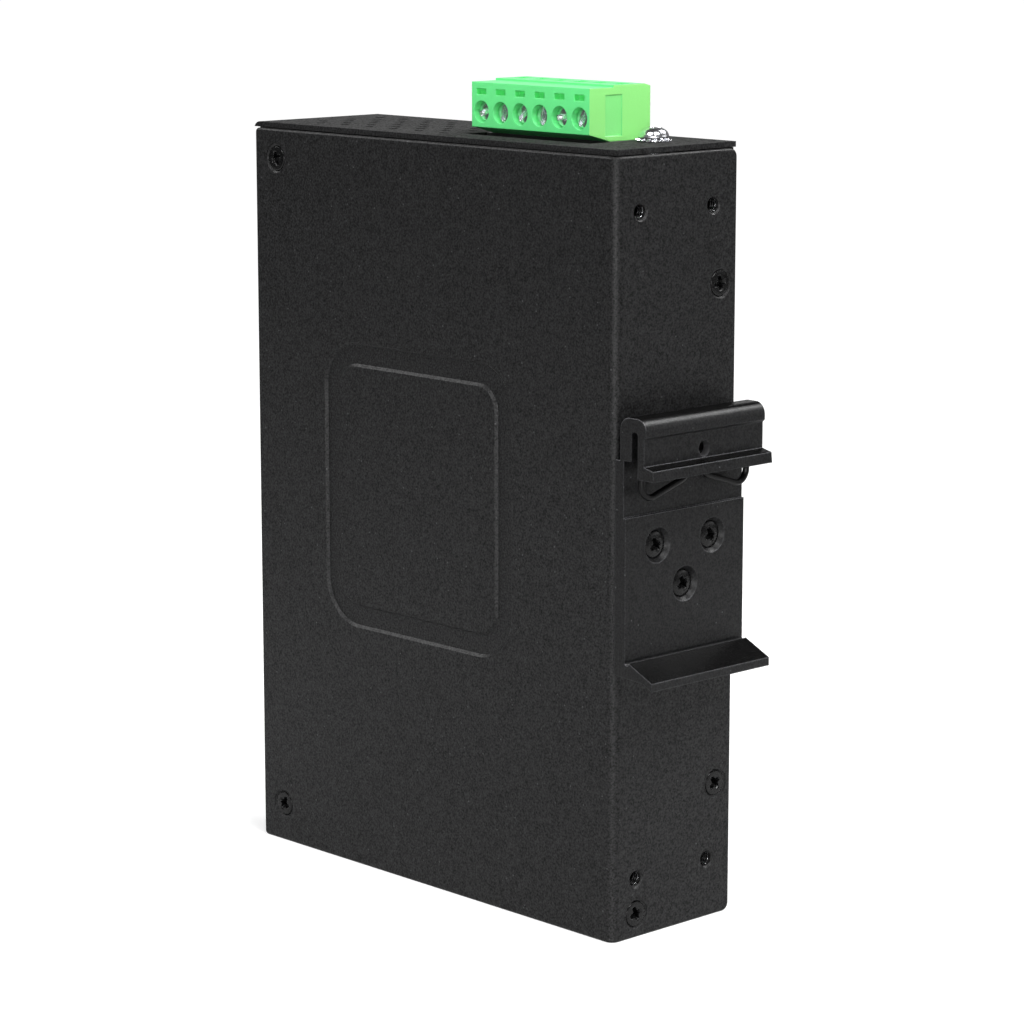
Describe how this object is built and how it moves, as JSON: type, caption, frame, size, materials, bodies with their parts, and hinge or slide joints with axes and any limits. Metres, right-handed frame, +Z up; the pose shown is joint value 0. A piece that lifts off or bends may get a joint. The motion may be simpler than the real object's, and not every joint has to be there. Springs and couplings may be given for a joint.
{
  "type": "rail mounted poe switch",
  "caption": "Slim folded steel network switch that hooks onto a 35 mm rail, with powered ports in front and a green plug for its supply on top.",
  "frame": {"origin": "middle of the underside of the case", "axes": "+Z up, the ports face -Y, the rail clip faces +Y and the removable side cover faces +X"},
  "size_m": [0.0306, 0.1087, 0.1519],
  "materials": {
    "powder_coat": "fine-textured black powder coat",
    "overlay_film": "matt dark film, bare",
    "black_screw": "black oxide",
    "black_anodised": "black anodised",
    "spring_wire": "black phosphate",
    "plated_steel": "bright zinc plate",
    "green_plastic": "semi-matt moulded",
    "black_plastic": "moulded",
    "tinned_brass": "tin plated",
    "jack_steel": "nickel plate",
    "gold_contact": "gold flash",
    "lamp_plastic": "clear tinted",
    "board_laminate": "solder resist",
    "chip_resin": "moulded resin",
    "pad_silicone": "soft pad",
    "sink_aluminium": "anodised",
    "capacitor_can": "drawn can",
    "ferrite": "sintered ferrite",
    "copper_winding": "enamelled copper wire",
    "ceramic": "ceramic"
  },
  "bodies": {
    "root": {"main_chassis": "powder_coat", "side_cover": "powder_coat", "front_label": "overlay_film", "side_screws": "black_screw", "rear_screws": "black_screw", "rail_clip_screws": "black_screw", "rail_clip": "black_anodised", "rail_clip_spring": "spring_wire", "wall_mount_nuts": "plated_steel", "rail_clip_nuts": "plated_steel", "earth_screw": "plated_steel", "earth_washer": "plated_steel", "earth_nut": "plated_steel", "board_screws": "plated_steel", "terminal_plug": "green_plastic", "terminal_header": "black_plastic", "led_holder": "black_plastic", "rj45_insert_1": "black_plastic", "rj45_insert_2": "black_plastic", "rj45_insert_3": "black_plastic", "rj45_insert_4": "black_plastic", "rj45_insert_5": "black_plastic", "header_pins": "tinned_brass", "wire_clamps": "tinned_brass", "clamp_screws": "tinned_brass", "board_standoffs": "tinned_brass", "rj45_shield_1": "jack_steel", "rj45_shield_2": "jack_steel", "rj45_shield_3": "jack_steel", "rj45_shield_4": "jack_steel", "rj45_shield_5": "jack_steel", "rj45_contacts_1": "gold_contact", "rj45_contacts_2": "gold_contact", "rj45_contacts_3": "gold_contact", "rj45_contacts_4": "gold_contact", "rj45_contacts_5": "gold_contact", "port_leds": "lamp_plastic", "status_leds": "lamp_plastic", "circuit_board": "board_laminate", "switch_chip": "chip_resin", "poe_controller": "chip_resin", "flash_memory": "chip_resin", "lan_transformers": "chip_resin", "power_transistors": "chip_resin", "input_fuse": "chip_resin", "thermal_pad": "pad_silicone", "heat_sink": "sink_aluminium", "bulk_capacitor_1": "capacitor_can", "bulk_capacitor_2": "capacitor_can", "crystal": "capacitor_can", "surge_arrester": "capacitor_can", "power_transformer_core": "ferrite", "power_inductor_1": "ferrite", "power_inductor_2": "ferrite", "power_transformer_winding": "copper_winding", "ceramic_capacitors": "ceramic"}
  },
  "joints": []
}
